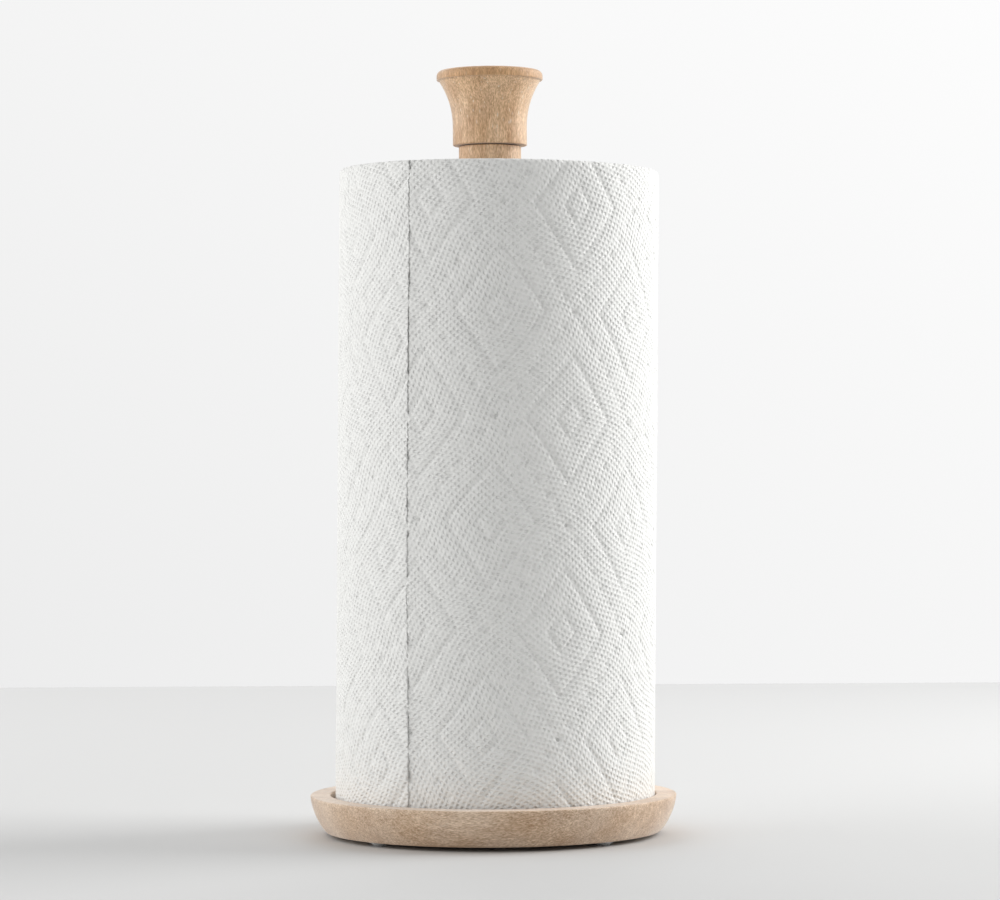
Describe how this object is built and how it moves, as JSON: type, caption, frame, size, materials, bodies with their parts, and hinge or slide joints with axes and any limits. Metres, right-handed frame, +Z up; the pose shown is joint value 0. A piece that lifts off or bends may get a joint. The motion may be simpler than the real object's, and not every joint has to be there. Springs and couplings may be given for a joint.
{
  "type": "paper towel holder",
  "caption": "Freestanding turned-wood paper towel holder: round tray with a raised rim, upright post, flared knob that unscrews, and a paper roll that turns on the post.",
  "frame": {"origin": "on the floor, on the axis of the round tray", "axes": "+Z up along the post; -Y is the front; the roll leans 0.65 degrees towards +X"},
  "size_m": [0.1598, 0.1598, 0.3337],
  "materials": {
    "pale_wood": "pale whitewashed hardwood, fine straight grain, matte",
    "clear_rubber": "soft translucent bumper",
    "steel": "zinc-plated steel",
    "brass": "turned brass",
    "dark_rubber": "dark matte rubber",
    "cardboard": "grey-brown spiral-wound board",
    "paper": "white embossed tissue paper"
  },
  "bodies": {
    "stand": {"base_tray": "pale_wood", "foot_1": "clear_rubber", "foot_2": "clear_rubber", "foot_3": "clear_rubber", "foot_4": "clear_rubber", "post": "pale_wood", "base_washer": "steel", "base_screw": "steel", "post_insert": "brass"},
    "washer": {"knob_washer": "dark_rubber"},
    "knob": {"knob": "pale_wood", "knob_stud": "steel"},
    "roll": {"roll_core": "cardboard", "paper_roll": "paper", "outer_sheet": "paper"}
  },
  "joints": [
    {"name": "knob_rise", "type": "slide", "parent": "stand", "child": "washer", "axis": [0, 0, 1], "range_m": [0, 0.01143]},
    {"name": "knob_turn", "type": "hinge", "parent": "washer", "child": "knob", "pos_m": [0, 0, 0.3147], "axis": [0, 0, 1], "range_deg": [0, 3240]},
    {"name": "roll_spin", "type": "hinge", "parent": "stand", "child": "roll", "pos_m": [0.0009, 0, 0.01004], "axis": [0.0113, 0, 0.9999], "continuous": true}
  ],
  "couplings": [
    {"joint": "knob_rise", "follows": "knob_turn", "m_per_rad": 0.00020213}
  ]
}
